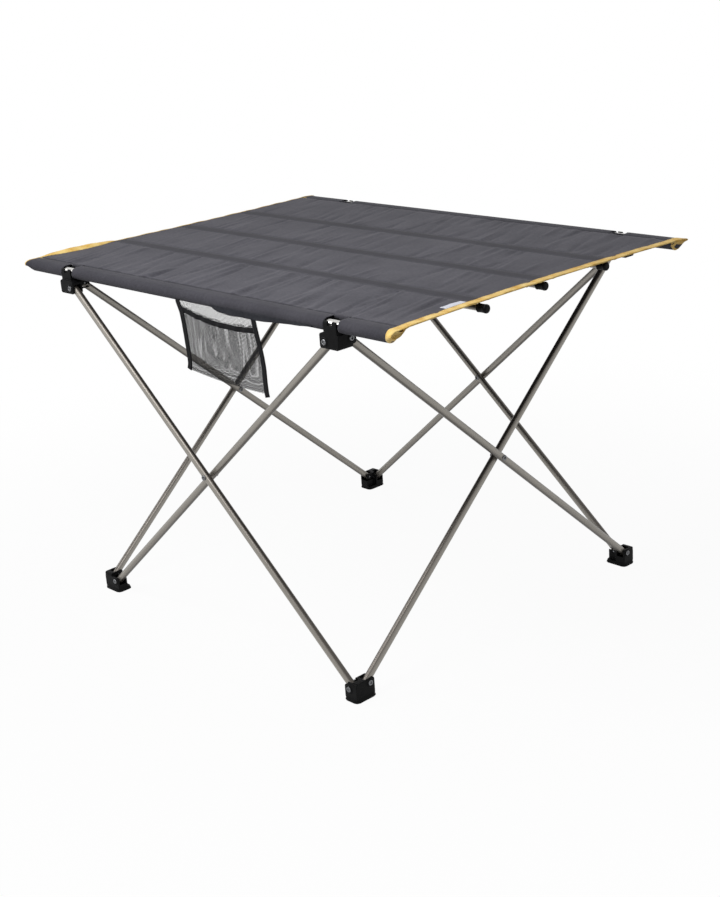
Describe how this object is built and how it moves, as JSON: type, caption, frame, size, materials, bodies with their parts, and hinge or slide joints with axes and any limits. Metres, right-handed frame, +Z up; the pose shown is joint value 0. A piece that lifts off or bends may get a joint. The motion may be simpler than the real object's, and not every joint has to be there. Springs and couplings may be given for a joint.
{
  "type": "camping table",
  "caption": "Low folding camp table: fabric top stretched on two poles, on a square ring of scissor tube legs with nylon hubs and feet, and a mesh pocket under the front edge.",
  "frame": {"origin": "on the floor, under the middle of the table", "axes": "+X runs along the pole sleeves to the right, +Y to the back, away from the mesh pocket, +Z up"},
  "size_m": [0.735, 0.564, 0.4881],
  "materials": {
    "leg_tube": "satin grey anodised",
    "pole_tube": "satin",
    "rod_tube": "satin",
    "nylon": "black moulded, slight sheen",
    "end_cap": "black moulded",
    "rivet_steel": "bright",
    "fabric": "charcoal woven polyester, matte",
    "flap_fabric": "dark charcoal woven polyester",
    "binding": "amber grosgrain tape",
    "netting": "black open netting",
    "black_tape": "black woven tape",
    "tag": "blank pale woven tag"
  },
  "bodies": {
    "front_left_foot": {"front_left_foot": "nylon", "front_left_foot_front_rivet": "rivet_steel", "front_left_foot_left_rivet": "rivet_steel"},
    "front_left_hub": {"front_left_hub": "nylon", "front_left_hub_front_rivet": "rivet_steel", "front_left_hub_left_rivet": "rivet_steel"},
    "front_right_foot": {"front_right_foot": "nylon", "front_right_foot_front_rivet": "rivet_steel", "front_right_foot_right_rivet": "rivet_steel"},
    "front_right_hub": {"front_right_hub": "nylon", "front_right_hub_front_rivet": "rivet_steel", "front_right_hub_right_rivet": "rivet_steel"},
    "back_right_foot": {"back_right_foot": "nylon", "back_right_foot_back_rivet": "rivet_steel", "back_right_foot_right_rivet": "rivet_steel"},
    "back_right_hub": {"back_right_hub": "nylon", "back_right_hub_back_rivet": "rivet_steel", "back_right_hub_right_rivet": "rivet_steel"},
    "back_left_foot": {"back_left_foot": "nylon", "back_left_foot_back_rivet": "rivet_steel", "back_left_foot_left_rivet": "rivet_steel"},
    "back_left_hub": {"back_left_hub": "nylon", "back_left_hub_back_rivet": "rivet_steel", "back_left_hub_left_rivet": "rivet_steel"},
    "front_outer_leg": {"front_outer_leg": "leg_tube", "front_crossing_rivet": "rivet_steel"},
    "front_inner_leg": {"front_inner_leg": "leg_tube"},
    "right_outer_leg": {"right_outer_leg": "leg_tube", "right_crossing_rivet": "rivet_steel"},
    "right_inner_leg": {"right_inner_leg": "leg_tube"},
    "back_outer_leg": {"back_outer_leg": "leg_tube", "back_crossing_rivet": "rivet_steel"},
    "back_inner_leg": {"back_inner_leg": "leg_tube"},
    "left_outer_leg": {"left_outer_leg": "leg_tube", "left_crossing_rivet": "rivet_steel"},
    "left_inner_leg": {"left_inner_leg": "leg_tube"},
    "top": {"tabletop_fabric": "fabric", "left_binding": "binding", "right_binding": "binding", "mesh_pocket": "netting", "pocket_tape": "black_tape", "sleeve_flap": "flap_fabric", "blank_tag": "tag", "front_pole_left": "pole_tube", "front_pole_left_cap": "end_cap", "front_pole_right": "pole_tube", "front_pole_right_cap": "end_cap", "back_pole_left": "pole_tube", "back_pole_left_cap": "end_cap", "back_pole_right": "pole_tube", "back_pole_right_cap": "end_cap", "front_rod": "rod_tube", "front_rod_left_cap": "end_cap", "front_rod_right_cap": "end_cap", "middle_rod": "rod_tube", "middle_rod_left_cap": "end_cap", "middle_rod_right_cap": "end_cap", "back_rod": "rod_tube", "back_rod_left_cap": "end_cap", "back_rod_right_cap": "end_cap"}
  },
  "joints": [
    {"name": "frame_fold", "type": "hinge", "parent": "front_right_foot", "child": "front_outer_leg", "pos_m": [0.256, -0.2723, 0.016], "axis": [0, 1, 0], "range_deg": [0, 45]},
    {"name": "front_crossing", "type": "hinge", "parent": "front_outer_leg", "child": "front_inner_leg", "pos_m": [0, -0.2723, 0.238], "axis": [0, 1, 0], "range_deg": [-90, 0]},
    {"name": "front_right_hub_front_pivot", "type": "hinge", "parent": "front_inner_leg", "child": "front_right_hub", "pos_m": [0.256, -0.2617, 0.46], "axis": [0, 1, 0], "range_deg": [0, 45]},
    {"name": "front_left_foot_front_pivot", "type": "hinge", "parent": "front_inner_leg", "child": "front_left_foot", "pos_m": [-0.256, -0.2617, 0.016], "axis": [0, 1, 0], "range_deg": [0, 45]},
    {"name": "front_left_hub_front_pivot", "type": "hinge", "parent": "front_outer_leg", "child": "front_left_hub", "pos_m": [-0.256, -0.2723, 0.46], "axis": [0, 1, 0], "range_deg": [-45, 0]},
    {"name": "front_left_hub_left_pivot", "type": "hinge", "parent": "front_left_hub", "child": "left_inner_leg", "pos_m": [-0.2617, -0.256, 0.464], "axis": [1, 0, 0], "range_deg": [-45, 0]},
    {"name": "left_crossing", "type": "hinge", "parent": "left_inner_leg", "child": "left_outer_leg", "pos_m": [-0.2617, 0, 0.242], "axis": [1, 0, 0], "range_deg": [0, 90]},
    {"name": "back_left_foot_left_pivot", "type": "hinge", "parent": "left_inner_leg", "child": "back_left_foot", "pos_m": [-0.2617, 0.256, 0.02], "axis": [1, 0, 0], "range_deg": [0, 45]},
    {"name": "back_left_hub_left_pivot", "type": "hinge", "parent": "left_outer_leg", "child": "back_left_hub", "pos_m": [-0.2723, 0.256, 0.464], "axis": [1, 0, 0], "range_deg": [-45, 0]},
    {"name": "front_right_hub_right_pivot", "type": "hinge", "parent": "front_right_hub", "child": "right_outer_leg", "pos_m": [0.2723, -0.256, 0.464], "axis": [1, 0, 0], "range_deg": [-45, 0]},
    {"name": "right_crossing", "type": "hinge", "parent": "right_outer_leg", "child": "right_inner_leg", "pos_m": [0.2723, 0, 0.242], "axis": [1, 0, 0], "range_deg": [0, 90]},
    {"name": "back_right_foot_right_pivot", "type": "hinge", "parent": "right_outer_leg", "child": "back_right_foot", "pos_m": [0.2723, 0.256, 0.02], "axis": [1, 0, 0], "range_deg": [0, 45]},
    {"name": "back_right_hub_right_pivot", "type": "hinge", "parent": "right_inner_leg", "child": "back_right_hub", "pos_m": [0.2617, 0.256, 0.464], "axis": [1, 0, 0], "range_deg": [-45, 0]},
    {"name": "back_right_hub_back_pivot", "type": "hinge", "parent": "back_right_hub", "child": "back_outer_leg", "pos_m": [0.256, 0.2723, 0.46], "axis": [0, 1, 0], "range_deg": [-45, 0]},
    {"name": "back_crossing", "type": "hinge", "parent": "back_outer_leg", "child": "back_inner_leg", "pos_m": [0, 0.2723, 0.238], "axis": [0, 1, 0], "range_deg": [0, 90]},
    {"name": "top_lift", "type": "slide", "parent": "front_right_hub", "child": "top", "axis": [0, 0, 1], "range_m": [0, 0.301]}
  ],
  "couplings": [
    {"joint": "front_crossing", "follows": "frame_fold", "ratio": -2},
    {"joint": "front_right_hub_front_pivot", "follows": "frame_fold", "ratio": 1},
    {"joint": "front_left_foot_front_pivot", "follows": "frame_fold", "ratio": 1},
    {"joint": "front_left_hub_front_pivot", "follows": "frame_fold", "ratio": -1},
    {"joint": "front_left_hub_left_pivot", "follows": "frame_fold", "ratio": -1},
    {"joint": "left_crossing", "follows": "frame_fold", "ratio": 2},
    {"joint": "back_left_foot_left_pivot", "follows": "frame_fold", "ratio": 1},
    {"joint": "back_left_hub_left_pivot", "follows": "frame_fold", "ratio": -1},
    {"joint": "front_right_hub_right_pivot", "follows": "frame_fold", "ratio": -1},
    {"joint": "right_crossing", "follows": "frame_fold", "ratio": 2},
    {"joint": "back_right_foot_right_pivot", "follows": "frame_fold", "ratio": 1},
    {"joint": "back_right_hub_right_pivot", "follows": "frame_fold", "ratio": -1},
    {"joint": "back_right_hub_back_pivot", "follows": "frame_fold", "ratio": -1},
    {"joint": "back_crossing", "follows": "frame_fold", "ratio": 2},
    {"joint": "top_lift", "follows": "frame_fold", "m_per_rad": 0.382}
  ]
}
